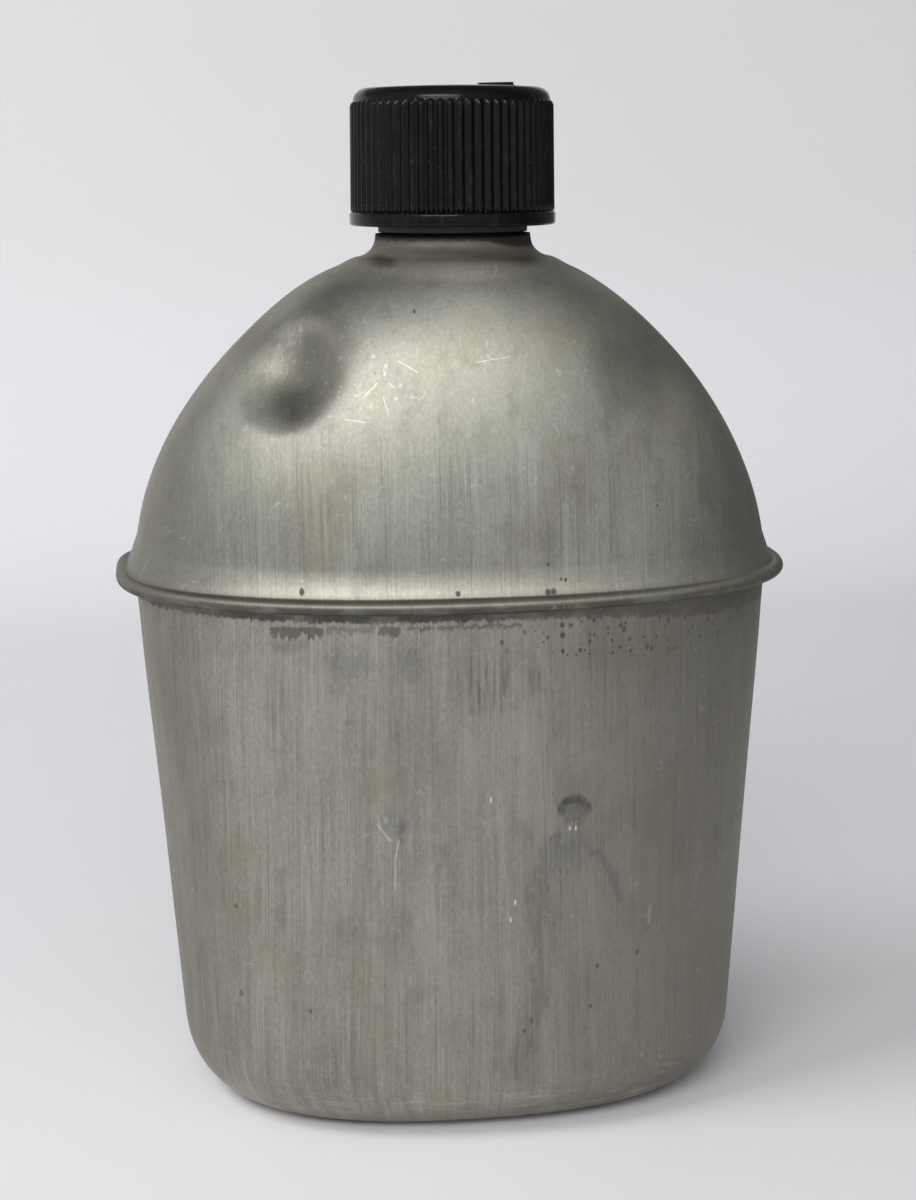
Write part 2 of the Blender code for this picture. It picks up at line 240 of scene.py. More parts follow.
# Lower shell: a deep cup drawn from one sheet of stainless steel, kidney-shaped so that it
# sits against the hip. Its wall is brushed upwards, its base is dished inside a flat foot
# ring, and its top edge turns out into a narrow flange for the seam.
sheet = 0.0007
fit_gap = 0.0003
body_width = 0.1283
front_depth = 0.0347
back_depth = 0.0275
end_sweep = 0.0130
front_squareness = 3.35
back_squareness = 3.6
seam_height = 0.1062
base_width = 0.1113
base_front_depth = 0.0376
base_back_depth = 0.0260
base_corner = 0.0135
foot_width = 0.0040
dish_ramp = 0.0030
dish_height = 0.0015
flange_bend = 0.0008
rim_reach = 0.0038
fold_radius = (3 * sheet + 2 * fit_gap) / 2
outline_samples = 4320
body_columns = 288


def steps(first, last, count):
    return [first + (last - first) * index / count for index in range(count + 1)]


def signed_power(value, power):
    return abs(value) ** power * (1 if value >= 0 else -1)


def outline_point(turn, width, front, back, reach=0.0):
    """Point of the kidney outline at an angle, moved out by reach along its normal."""

    def on_curve(angle):
        squareness = back_squareness if sin(angle) >= 0 else front_squareness
        depth = back if sin(angle) >= 0 else front
        x = width / 2 * signed_power(cos(angle), 2 / squareness)
        sweep_y = end_sweep * (2 * x / body_width) ** 2
        return Vector((x, depth * signed_power(sin(angle), 2 / squareness) + sweep_y))

    point = on_curve(turn)
    if reach:
        nudge = tau / outline_samples / 2
        along = on_curve(turn + nudge) - on_curve(turn - nudge)
        point += Vector((along.y, -along.x)).normalized() * reach
    return point


def even_turns(count):
    """Angles that are evenly spaced along the outline, from the middle of the back."""
    angles = [pi / 2 + tau * index / outline_samples for index in range(outline_samples + 1)]
    points = [outline_point(a, body_width, front_depth, back_depth) for a in angles]
    lengths = [0.0]
    for before, after in zip(points, points[1:]):
        lengths.append(lengths[-1] + (after - before).length)
    turns = []
    for index in range(count):
        goal = lengths[-1] * index / count
        after = max(bisect_left(lengths, goal), 1)
        share = (goal - lengths[after - 1]) / (lengths[after] - lengths[after - 1])
        turns.append(angles[after - 1] + share * (angles[after] - angles[after - 1]))
    return turns


turns = even_turns(body_columns)


def placed(point, z):
    return Vector((point[0], point[1] + centre_line_y, z))


def wall_ring(z, inset=0.0, reach=0.0):
    """Ring of the lower shell, whose wall tapers evenly from the seam to the base."""
    share = z / seam_height
    width = base_width + (body_width - base_width) * share - 2 * inset
    front = base_front_depth + (front_depth - base_front_depth) * share - inset
    back = base_back_depth + (back_depth - base_back_depth) * share - inset
    return [placed(outline_point(t, width, front, back, reach), z) for t in turns]


def skin(name, rings, loop=False, start_cap=False, end_cap=False):
    """Mesh over rings of equal counts that run outwards, upwards and back in, faces out."""
    bm = bmesh.new()
    rows = [[bm.verts.new(point) for point in ring] for ring in rings]
    pairs = list(zip(rows, rows[1:]))
    if loop:
        pairs.append((rows[-1], rows[0]))
    for low, high in pairs:
        for here in range(len(low)):
            there = (here + 1) % len(low)
            bm.faces.new((low[here], low[there], high[there], high[here]))
    for row, wanted, outward in ((rows[0], start_cap, -1), (rows[-1], end_cap, 1)):
        if wanted:
            middle = bm.verts.new(sum((v.co for v in row), Vector()) / len(row))
            for here in range(len(row)):
                there = (here + 1) % len(row)
                edge = (row[here], row[there]) if outward > 0 else (row[there], row[here])
                bm.faces.new((*edge, middle))
    mesh = bpy.data.meshes.new(name)
    bm.to_mesh(mesh)
    bm.free()
    mesh.shade_smooth()
    return mesh


def move_along_normals(mesh, amount):
    """Pushes each vertex out along its normal by amount(place), in metres."""
    normals = [vertex.normal.copy() for vertex in mesh.vertices]
    for vertex, normal in zip(mesh.vertices, normals):
        vertex.co += normal * amount(vertex.co.copy())


def smooth_step(value, low, high):
    share = min(max((value - low) / (high - low), 0.0), 1.0)
    return share * share * (3 - 2 * share)


def hand_waves(place, size, height):
    """The faint unevenness that years of knocks leave in a thin sheet."""
    return height * noise.noise(place / size, noise_basis="PERLIN_ORIGINAL")


def as_piece(name, mesh, body, node, material):
    piece = bpy.data.objects.new(name, mesh)
    bpy.context.scene.collection.objects.link(piece)
    mesh.materials.clear()
    mesh.materials.append(material)
    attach(piece, body)
    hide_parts(node)
    return piece


def sheet_wall(piece):
    """Gives an open skin the thickness of the sheet, inwards, as one closed mesh."""
    wall = piece.modifiers.new("sheet", "SOLIDIFY")
    wall.thickness = sheet
    wall.offset = -1
    wall.use_even_offset = True


middle_inset = base_corner + foot_width + dish_ramp
rings = []
for inset in steps(middle_inset + 0.004, middle_inset, 2):
    rings.append(wall_ring(dish_height, inset=inset))
for share in steps(0, 1, 6)[1:]:
    height = dish_height * (1 + cos(pi * share)) / 2
    rings.append(wall_ring(height, inset=middle_inset - dish_ramp * share))
for angle in steps(0, pi / 2, 18):
    rings.append(wall_ring(base_corner * (1 - cos(angle)), inset=base_corner * (1 - sin(angle))))
flange_underside = seam_height - sheet
for z in steps(base_corner, flange_underside - flange_bend, 60)[1:-1]:
    rings.append(wall_ring(z))
for angle in steps(0, pi / 2, 4):
    z = flange_underside - flange_bend * (1 - sin(angle))
    rings.append(wall_ring(z, reach=flange_bend * (1 - cos(angle))))
rings.append(wall_ring(flange_underside, reach=rim_reach - fold_radius))
lower_mesh = skin("lower_shell_sheet", rings, start_cap=True)


def lower_dents(place):
    calm = smooth_step(place.z, 0.004, 0.02) * (1 - smooth_step(place.z, 0.092, 0.100))
    return calm * hand_waves(place, 0.035, 0.00025)


move_along_normals(lower_mesh, lower_dents)

# Brushed stainless steel, drawn and then brushed lengthways: a satin sheen that is stretched
# across the grain, dulled by handling, with faint brown stains and fine scuffs.
dome_tones = ("#86847a", "#b4b5aa")
wall_tones = ("#848177", "#b6b4a9")
grain_width = 0.0003  # real grain is finer; this is as coarse as it must be to show
grain_length = 0.0180
grain_depth = 0.00002
grain_spread = 0.7  # how much more a highlight spreads across the grain than along it
band_width = 0.0030
band_length = 0.0750
line_width = 0.0004  # single deeper brush marks
line_length = 0.0350
mottle_size = 0.020
cloud_size = 0.006
tan_size = 0.018
speckle_size = 0.0006
streak_width = 0.0012
rag_size = 0.0012
hairline = 0.00012
brush_radius = 0.0500  # about the body's radius: turns an angle round the axis into a width
brush_change = 0.1060  # the wall is brushed all round below this, and the dome in front above
brush_fade_up = (0.126, 0.152)  # heights between which the dome's brushing dies away
brush_fade_out = (0.045, 0.060)  # and distances to each side
front_limit = 0.008  # marks that are placed one by one lie in front of this
band_bottom_left = seam_height - 0.0036
band_bottom_right = seam_height - 0.0062


def stretched_noise(tree, coords, width, stretch=(1, 1, 1), detail=3.0, rough=0.6, seed=0.0):
    """Noise whose features are about width across, stretched along the axes given."""
    scale = [1 / (width * share) for share in stretch]
    shift = (seed, seed * 0.7, seed * 1.3)
    sockets = {"Vector": coords, "Scale": scale, "Location": shift}
    mapped = add_node(tree, "ShaderNodeMapping", sockets).outputs[0]
    sockets = {"Vector": mapped, "Scale": 1.0, "Detail": detail, "Roughness": rough}
    return Field(tree, add_node(tree, "ShaderNodeTexNoise", sockets).outputs[0])


def widest(masks):
    """One mask that covers what any of the masks covers."""
    whole = masks[0]
    for mask in masks[1:]:
        whole = whole.then("MAXIMUM", mask)
    return whole


class Surface:
    """One steel piece's nodes: its coordinates, the shapes of marks, and its finish so far.

    A mark's place is given in metres, as x to the right and z up from the ground.
    """

    def __init__(self, tree):
        self.tree = tree
        self.coords = add_node(tree, "ShaderNodeTexCoord").outputs["Object"]
        self.x, self.y, self.z = split(tree, self.coords)
        behind = self.y.then("GREATER_THAN", front_limit)
        self.facing = self.y.then("LESS_THAN", front_limit)
        flat = add_node(tree, "ShaderNodeCombineXYZ", {0: self.x, 1: behind, 2: self.z})
        self.front = flat.outputs[0]  # a back that is 1 m away keeps marks to the front
        self.rag = stretched_noise(tree, self.coords, rag_size, (1, 1, 1.6), 4.0, 0.65, 21.0)
        self.set_brushing()
        self.streak = stretched_noise(tree, self.brushed, streak_width, (1, 1, 9), 3.0, 0.55, 33.0)

    def set_brushing(self):
        """Where the steel is brushed, and coordinates that follow the brush."""
        on_wall = self.z.then("LESS_THAN", brush_change)
        ahead = (self.y - centre_line_y) * -1
        around = self.x.then("ARCTAN2", ahead) * brush_radius
        sideways = on_wall.between(self.x, around)
        self.brushed = add_node(self.tree, "ShaderNodeCombineXYZ", {0: sideways, 2: self.z}).outputs[0]
        low = self.z.drop(*brush_fade_up)
        middle = self.x.then("ABSOLUTE").drop(*brush_fade_out)
        self.brushing = (low * middle).then("MAXIMUM", on_wall)

    def noise(self, width, stretch=(1, 1, 1), detail=3.0, seed=0.0):
        return stretched_noise(self.tree, self.coords, width, stretch, detail, seed=seed)

    def brush_lines(self, width, length, detail=2.0, seed=0.0):
        """Noise drawn out up the wall where it is brushed, and level elsewhere."""
        stretch = (1, 1, length / width)
        lines = stretched_noise(self.tree, self.brushed, width, stretch, detail, seed=seed)
        return self.brushing.between(0.5, lines)

    def vector(self, operation, first, second=(0, 0, 0)):
        sockets = {0: first, 1: second}
        return add_node(self.tree, "ShaderNodeVectorMath", sockets, operation=operation).outputs

    def wobble(self, size):
        """An uneven shift of up to half of size either way, which makes an edge ragged."""
        return (self.rag - 0.5) * size

    def spot(self, x, z, across, up, ragged=0.5, soft=0.5):
        """An ellipse on the front, 1 inside, with a soft and ragged edge."""
        away = self.vector("SUBTRACT", self.front, (x, 0, z))[0]
        away = self.vector("MULTIPLY", away, (1 / across, 1, 1 / up))[0]
        far = Field(self.tree, self.vector("LENGTH", away)["Value"])
        return (far + self.wobble(2 * ragged)).drop(1 - soft, 1.0)

    def stroke(self, start, end, width, ragged=0.3):
        """A line on the front between two (x, z) points."""
        begin = Vector((start[0], 0, start[1]))
        along = Vector((end[0], 0, end[1])) - begin
        away = self.vector("SUBTRACT", self.front, begin)[0]
        share = self.vector("DOT_PRODUCT", away, along / along.length_squared)["Value"]
        share = Field(self.tree, share).then("MINIMUM", 1.0).then("MAXIMUM", 0.0)
        near = add_node(self.tree, "ShaderNodeVectorMath", {0: along, "Scale": share}, operation="SCALE")
        gap = Field(self.tree, self.vector("DISTANCE", away, near.outputs[0])["Value"])
        return (gap + self.wobble(2 * ragged * width)).drop(width * 0.3, width)

    def path(self, points, width, ragged=0.3):
        return widest([self.stroke(a, b, width, ragged) for a, b in zip(points, points[1:])])

    def drips(self, left, right, top, length):
        """Grime in a strip between two x, its top at a height, its bottom in ragged fingers."""
        edge = 0.0005
        wobble = self.wobble(0.0028)
        x = self.x + wobble
        rise = self.z + wobble - top
        reach = self.streak.fade(0.3, 0.65, 0.35, 1.0) * length
        inside = x.fade(left, left + edge) * x.drop(right - edge, right)
        fingers = (rise + reach).fade(-0.0002, 0.0003)
        return inside * rise.drop(-0.0002, 0.0003) * fingers * self.facing

    def ring(self, x, z, radius, width):
        gap = Field(self.tree, self.vector("DISTANCE", self.front, (x, 0, z))["Value"])
        return (gap - radius).then("ABSOLUTE").drop(width * 0.3, width)

    def pits(self, spacing, size, share, stretch=1.0):
        """Scattered pits: at most one in each cell, in only a share of the cells."""
        mapped = self.vector("MULTIPLY", self.coords, (1.0, 1.0, 1 / stretch))[0]
        sockets = {"Vector": mapped, "Scale": 1 / spacing}
        cell = add_node(self.tree, "ShaderNodeTexVoronoi", sockets)
        chance = add_node(self.tree, "ShaderNodeSeparateColor", {0: cell.outputs["Color"]}).outputs
        size = size / spacing
        radius = Field(self.tree, chance[1]) * size
        inside = radius - cell.outputs["Distance"] + self.wobble(0.5 * size)
        return inside.fade(0.0, 0.25 * size) * Field(self.tree, chance[0]).then("LESS_THAN", share)

    def scratches(self, width, spacing, seed):
        """Short curved hairlines: the level lines of a noise, kept where another is high."""
        level = self.noise(spacing, (1, 1, 2.2), 1.0, seed)
        line = (level - 0.5).then("ABSOLUTE").drop(0.0, width / spacing * 0.5)
        return line * self.noise(spacing * 0.8, seed=seed + 1).fade(0.55, 0.62)

    def tint(self, share, colour):
        sockets = {0: share, 6: self.colour, 7: linear(colour)}
        self.colour = add_node(self.tree, "ShaderNodeMix", sockets, data_type="RGBA").outputs[2]

    def mark(self, mask, strength, colour, rough=0.5, metal=1.0):
        """Lays a stain or a scrape over the finish so far; metal is how bare it leaves it."""
        share = mask * strength
        self.tint(share, colour)
        self.rough = share.between(self.rough, rough)
        self.metal = share.between(self.metal, metal)

    def brush(self, tones):
        """The finish of plain brushed steel, before any marks."""
        grain = self.brush_lines(grain_width, grain_length)
        bands = self.brush_lines(band_width, band_length, 3.0, 3.0)
        mottle = self.noise(mottle_size, (1, 1, 1.6), 5.0, 7.0)
        fine = self.noise(speckle_size, (1, 1, 1.5), 3.0, 41.0)
        tone = grain * 0.26 + bands * 0.18 + mottle * 0.32 + fine * 0.24
        self.colour = linear(tones[0])
        self.tint(tone.fade(0.3, 0.7), tones[1])
        clouds = self.noise(cloud_size, (1, 1, 1.5), 5.0, 17.0)
        self.tint(clouds.fade(0.52, 0.70, 0.0, 0.26), "#6f6d66")
        tan = self.noise(tan_size, (1, 1, 1.3), 4.0, 29.0)
        self.tint(tan.fade(0.50, 0.68, 0.0, 0.24), "#8c8467")
        lines = self.brush_lines(line_width, line_length, 1.0, 13.0)
        self.tint(lines.fade(0.60, 0.70, 0.0, 0.30), "#66645c")
        self.tint(lines.fade(0.30, 0.40, 0.20, 0.0), "#cfcdc3")
        self.rough = mottle.fade(0.3, 0.7, 0.46, 0.54)
        self.metal = 1.0
        self.height = grain + bands * 0.6 + fine * 0.9


def steel_material(name, tones, add_marks):
    """Brushed steel with the marks that add_marks(surface) lays on it."""
    material, tree, shader = new_material(name)
    surface = Surface(tree)
    surface.brush(tones)
    add_marks(surface)
    sockets = {"Height": surface.height, "Distance": grain_depth, "Strength": 0.6}
    bump = add_node(tree, "ShaderNodeBump", sockets)
    tangent = add_node(tree, "ShaderNodeTangent", direction_type="RADIAL", axis="Z")
    finish = {"Base Color": surface.colour, "Roughness": surface.rough, "Metallic": surface.metal}
    finish.update({"Normal": bump.outputs[0], "Tangent": tangent.outputs[0]})
    finish["Anisotropic"] = grain_spread
    plug(tree, shader, finish)
    return material


def under_rim_marks(surface):
    """Under the rim: a dark band that is grime and painted shadow of the rim's overhang, with blots,
    runs and pitting.
    """
    # Painted shadow with grime: this dark band under the rim also stands in for the shadow that the
    # rim's overhang casts.
    level = surface.x.fade(0.010, 0.055, band_bottom_left, band_bottom_right)
    above = surface.z - (level + surface.wobble(0.0030))
    patchy = surface.noise(0.0035, (2, 2, 1), 4.0, 45.0).fade(0.32, 0.58, 0.55, 1.0)
    surface.mark(above.fade(-0.0003, 0.0004) * patchy, 0.85, "#403d36", 0.6, 0.5)
    surface.mark(surface.spot(0.030, 0.0950, 0.017, 0.0040, 0.3, 0.9), 0.30, "#827d60")
    surface.mark(surface.drips(-0.0390, -0.0290, 0.1016, 0.0026), 0.65, "#45443f", 0.6, 0.7)
    surface.mark(surface.drips(-0.0288, -0.0198, 0.1019, 0.0016), 0.40, "#5b5a54", 0.6, 0.8)
    surface.mark(surface.drips(-0.0192, -0.0145, 0.1018, 0.0018), 0.60, "#4c4b47", 0.6, 0.8)
    surface.mark(surface.drips(-0.0140, 0.0080, 0.1018, 0.0008), 0.55, "#4c4b47", 0.6, 0.8)
    surface.mark(surface.spot(-0.0362, 0.0980, 0.0045, 0.0022, 0.8, 0.9), 0.40, "#6f6f6c")
    surface.mark(surface.spot(-0.0240, 0.0950, 0.0080, 0.0045, 0.9, 0.9), 0.30, "#74757a")
    surface.mark(surface.spot(-0.0133, 0.0950, 0.0045, 0.0050, 0.9, 0.9), 0.35, "#6b6b6c")
    runs = surface.streak.fade(0.45, 0.62)
    surface.mark(surface.spot(-0.0160, 0.0850, 0.0040, 0.0120, 0.6, 0.9) * runs, 0.35, "#6c6c6c")
    surface.mark(surface.spot(0.0010, 0.0905, 0.0085, 0.0085, 0.6, 0.8) * runs, 0.50, "#5c5b59")
    surface.mark(surface.spot(0.0112, 0.0905, 0.0055, 0.0060, 0.6, 0.8) * runs, 0.40, "#5c5b59")
    pitted = surface.spot(0.030, 0.0985, 0.031, 0.0048, 0.2, 0.3)
    surface.mark(surface.pits(0.0009, 0.00055, 0.45, 1.4) * pitted, 0.90, "#2b2822", 0.7, 0.3)
    surface.mark(surface.pits(0.0021, 0.00095, 0.30, 1.4) * pitted, 0.90, "#23211c", 0.7, 0.3)


def right_knock_marks(surface):
    """The right knock: a dark arc over a scraped hollow, and a stain that ran down in two legs."""
    streaks = surface.streak.fade(0.35, 0.62, 0.15, 1.0)
    surface.mark(surface.spot(0.0176, 0.0570, 0.0050, 0.0085, 0.6, 0.9) * streaks, 0.50, "#6a6b6b")
    left_leg = [(0.0135, 0.0590), (0.0105, 0.0480), (0.0118, 0.0400)]
    left_leg += [(0.0109, 0.0280), (0.0060, 0.0140)]
    surface.mark(surface.path(left_leg, 0.0030, 1.2) * streaks, 0.45, "#6b6b6a")
    right_leg = [(0.0222, 0.0565), (0.0258, 0.0512), (0.0265, 0.0468)]
    surface.mark(surface.path(right_leg, 0.0014, 1.2) * streaks, 0.38, "#63656a")
    surface.mark(surface.spot(0.0178, 0.0650, 0.0034, 0.0040, 0.4, 0.6), 0.45, "#605f5c")
    upper_half = surface.z.fade(0.0635, 0.0660)
    ragged = surface.rag.fade(0.30, 0.60, 0.3, 1.0)
    arc = surface.ring(0.0178, 0.0648, 0.0027, 0.0012) * upper_half * ragged
    surface.mark(arc, 0.75, "#403e37", 0.6, 0.8)
    scrapes = surface.noise(0.0005, (1, 1, 4), 3.0, 55.0).fade(0.48, 0.62)
    scraped = surface.spot(0.0177, 0.0632, 0.0022, 0.0026, 0.6, 0.8) * scrapes
    surface.mark(scraped, 0.45, "#c4c2b9", 0.45)


def left_knock_marks(surface):
    """The left knock: a scraped patch, a forked scratch below it, and a faint stain."""
    surface.mark(surface.spot(-0.0178, 0.0645, 0.0042, 0.0036, 0.8, 0.7), 0.30, "#777b7c", 0.55)
    scrapes = surface.noise(0.0005, (1, 1, 4), 3.0, 55.0).fade(0.48, 0.62)
    scraped = surface.spot(-0.0185, 0.0645, 0.0036, 0.0028, 0.6, 0.8) * scrapes
    surface.mark(scraped, 0.50, "#c4c6c2")
    surface.mark(surface.spot(-0.0155, 0.0630, 0.0012, 0.0030, 0.8, 0.8), 0.40, "#5d6062", 0.55)
    streaks = surface.streak.fade(0.35, 0.62, 0.15, 1.0)
    stain = surface.spot(-0.0165, 0.0480, 0.0060, 0.0200, 0.8, 0.9) * streaks
    surface.mark(stain, 0.25, "#77797b")
    fork = surface.path([(-0.0199, 0.0641), (-0.0175, 0.0608)], 0.00026, 1.4)
    surface.mark(fork, 0.55, "#d5d3ca", 0.4)
    tail = surface.path([(-0.0159, 0.0608), (-0.0167, 0.0571), (-0.0168, 0.0512)], 0.00018)
    surface.mark(tail, 0.60, "#d5d3ca", 0.4)


def lower_marks(surface):
    """Grime, two old knocks, painted glints, painted shade on the right and at the far left, rust
    specks, and scuffs round the foot.
    """
    under_rim_marks(surface)
    surface.mark(surface.x.fade(-0.010, 0.045), 0.66, "#77746b")  # painted shade: the right side is darkened where it turns from the light
    # painted shade: the far left end is darkened where it turns from the light
    surface.mark(surface.x.drop(-0.056, -0.046), 0.35, "#6d6a62")
    right_knock_marks(surface)
    left_knock_marks(surface)
    # Painted highlights: small bright glints on the front, two of them inside the right knock.
    painted_glints = [(0.0169, 0.0617), (0.0181, 0.0616), (0.0016, 0.0682)]
    painted_glints += [(0.0061, 0.0479), (0.0052, 0.0445)]
    painted_glints = widest([surface.spot(x, z, 0.00025, 0.0007, 0.4, 0.5) for x, z in painted_glints])
    surface.mark(painted_glints, 0.80, "#e6e4dc", 0.35)
    rust = [(-0.0466, 0.0456), (-0.0460, 0.0280), (-0.0330, 0.0265), (0.0224, 0.0337)]
    rust += [(0.0091, 0.0239), (0.0077, 0.0220), (0.0210, 0.0256), (0.0308, 0.0351)]
    rust = widest([surface.spot(x, z, 0.0005, 0.0007, 0.6, 0.6) for x, z in rust])
    surface.mark(rust, 0.65, "#5d4020", 0.7, 0.4)
    scuffs = surface.noise(0.0006, (14, 14, 1), 3.0, 51.0).fade(0.52, 0.68)
    surface.mark(surface.z.drop(0.004, 0.014) * scuffs, 0.40, "#c9c6bc", 0.45)
    surface.mark(surface.scratches(hairline, 0.0045, 61.0), 0.22, "#d3d1c8", 0.4)
    surface.mark(surface.pits(0.012, 0.00060, 0.16), 0.60, "#3b342a", 0.7, 0.5)


lower_steel = steel_material("brushed stainless, lower shell", wall_tones, lower_marks)
lower_piece = as_piece("lower_shell_steel", lower_mesh, "canteen", "lower_shell", lower_steel)
sheet_wall(lower_piece)

# Upper shell: the dome, drawn from the same sheet. Its bottom edge is rolled over the lower
# shell's flange and pressed under it, and its top is flared up into a lip for the collar.
# Two old knocks, the left one deeper, have left thumb-sized dents in its shoulders.
hem_setback = 0.0012
bead_rise = 0.0002  # how far the rolled edge stands above the groove behind it
shoulder_out = 0.0016
shoulder_up = 0.0060
dome_height = 0.0614
dome_rise_power = 1.82
dome_width_power = 1.34
lip_radius = 0.0151
neck_flare = 0.0039
lip_height = 0.0014
neck_setback = 0.0015
rim_top = seam_height + fit_gap + sheet
land_height = seam_height + dome_height
lip_top = land_height + neck_flare + lip_height
neck_y = centre_line_y + neck_setback


def dome_ring(climb, reach=0.0, z=None):
    """Ring of the dome: climb runs from 0 at the seam to a quarter turn at the neck."""
    rise = sin(climb) ** (2 / dome_rise_power)
    share = max(cos(climb), 0.0) ** (2 / dome_width_power)
    height = seam_height + dome_height * rise if z is None else z
    ring = []
    for turn in turns:
        body = outline_point(turn, body_width, front_depth, back_depth, reach)
        neck = Vector((cos(turn), sin(turn))) * (lip_radius + neck_flare)
        neck.y += neck_setback
        ring.append(placed(body.lerp(neck, 1 - share), height))
    return ring


def climb_at(z):
    return ((z - seam_height) / dome_height) ** (dome_rise_power / 2)


def lip_ring(radius, z):
    return [Vector((radius * cos(t), radius * sin(t) + neck_y, z)) for t in turns]


fold_centre = rim_reach - fold_radius
rings = []
for reach in steps(hem_setback, fold_centre, 2)[:-1]:
    rings.append(dome_ring(0, reach, rim_top - 2 * fold_radius))
for angle in steps(-pi / 2, pi / 2, 14):
    reach = fold_centre + fold_radius * cos(angle)
    rings.append(dome_ring(0, reach, rim_top + fold_radius * (sin(angle) - 1)))
for share in steps(0, 1, 4)[1:]:
    reach = fold_centre + (shoulder_out - fold_centre) * share
    rings.append(dome_ring(0, reach, rim_top - bead_rise * (1 - cos(pi * share)) / 2))
for share in steps(0, 1, 14)[1:]:
    z = rim_top - bead_rise + shoulder_up * share
    rings.append(dome_ring(climb_at(z) * smooth_step(share, 0, 1), shoulder_out * (1 - share) ** 2, z))
dome_start = climb_at(rim_top - bead_rise + shoulder_up)
rings.extend(dome_ring(climb) for climb in steps(dome_start, pi / 2, 78)[1:])
for angle in steps(0, pi / 2, 12)[1:]:
    radius = lip_radius + neck_flare * (1 - sin(angle))
    rings.append(lip_ring(radius, land_height + neck_flare * (1 - cos(angle))))
rings.extend(lip_ring(lip_radius, z) for z in steps(lip_top - lip_height, lip_top, 2)[1:])
upper_mesh = skin("upper_shell_sheet", rings)

knocks = [  # the middle, depth and radius of each dent
    (Vector((-0.0344, -0.0172, 0.1478)), 0.0034, 0.0132),
    (Vector((0.0350, -0.0165, 0.1475)), 0.0022, 0.0155),
]
crease_radius = 0.0174  # the flare's crease, which is opened out more than a plain arc
crease_up = 0.1682
crease_fill = 0.0008
crease_size = 0.0060
top_swell = 0.0003  # and the dome round it stands a little fuller
swell_radius = 0.0290
swell_size = 0.0150


def hollow(distance, size):
    """A round dent's shape, 1 in its middle and 0 from its edge outwards."""
    share = min(distance / size, 1.0)
    return (1 - share * share) ** 2


def upper_dents(place):
    calm = smooth_step(place.z, 0.1105, 0.116) * (1 - smooth_step(place.z, 0.162, 0.167))
    amount = calm * hand_waves(place, 0.03, 0.00025)
    for middle, depth, radius in knocks:
        amount -= depth * hollow((place - middle).length, radius)
    from_axis = hypot(place.x, place.y - neck_y)
    away = hypot(from_axis - crease_radius, place.z - crease_up)
    amount += top_swell * hollow(abs(from_axis - swell_radius), swell_size)
    return amount + crease_fill * hollow(away, crease_size)


move_along_normals(upper_mesh, upper_dents)


def dent_marks(surface):
    """The two dents carry painted shade on their sides that turn from the light, and the left one has
    faint rings.
    """
    # Painted shade: the dark sides of both dents, where they turn away from the light.
    left_dent_shade = [(-0.0266, 0.1524), (-0.0276, 0.1482), (-0.0320, 0.1436)]
    surface.mark(surface.path(left_dent_shade, 0.0078, 0.12), 0.62, "#53514b")
    surface.mark(surface.spot(0.0360, 0.1470, 0.0075, 0.0065, 0.6, 0.9), 0.35, "#5d5a53")
    rings = widest([surface.ring(-0.0318, 0.1455, radius, 0.00025) for radius in (0.0017, 0.0025)])
    surface.mark(rings * surface.rag.fade(0.4, 0.6), 0.30, "#55534e")


def dome_stains(surface):
    """Painted reflections of the black cap each side of the neck, grey blots, painted shade on the right
    and at the far left, two yellow specks and many dark ones.
    """
    # Painted reflection: these dark patches each side of the neck's foot stand in for the black cap
    # mirrored in the flare.
    surface.mark(surface.spot(-0.0150, 0.1680, 0.0035, 0.0016, 0.6, 0.8), 0.55, "#4a4842", 0.6, 0.8)
    surface.mark(surface.spot(0.0120, 0.1678, 0.0050, 0.0014, 0.6, 0.9), 0.40, "#5b584f", 0.6, 0.9)
    surface.mark(surface.spot(-0.0355, 0.1535, 0.0030, 0.0015, 0.8, 0.9), 0.40, "#5b5952", 0.6, 0.9)
    surface.mark(surface.spot(-0.0390, 0.1530, 0.0100, 0.0080, 0.6, 1.0), 0.40, "#66635b")
    surface.mark(surface.x.fade(0.028, 0.052), 0.35, "#67645b")  # painted shade: the right side is darkened where it turns from the light
    # Painted shade over the upper right, which holds the lamp's highlight back from it, and at the far
    # left edge.
    high_up = surface.z.fade(0.132, 0.150)
    surface.mark(surface.x.fade(0.0, 0.028) * high_up, 0.38, "#6b6960")
    surface.mark(surface.x.drop(-0.055, -0.035), 0.25, "#67645b")
    surface.mark(surface.spot(0.0083, 0.1707, 0.0014, 0.0007, 0.6, 0.6), 0.50, "#8b8038", 0.6, 0.6)
    surface.mark(surface.spot(0.0050, 0.1683, 0.0018, 0.0007, 0.6, 0.6), 0.45, "#8b8038", 0.6, 0.6)
    specks = [(-0.0044, 0.1082, 0.0005), (0.0125, 0.1079, 0.0006), (0.0137, 0.1079, 0.0007)]
    specks += [(0.0161, 0.1099, 0.0004), (0.0152, 0.1100, 0.0003), (-0.0330, 0.1085, 0.0007)]
    specks += [(0.0128, 0.1128, 0.0003), (-0.0105, 0.1593, 0.0004), (0.0349, 0.1224, 0.0003)]
    specks = widest([surface.spot(x, z, r, r * 1.2, 0.8, 0.5) for x, z, r in specks])
    surface.mark(specks, 0.75, "#35322b", 0.7, 0.4)
    surface.mark(surface.pits(0.009, 0.00055, 0.22), 0.65, "#45413a", 0.7, 0.5)


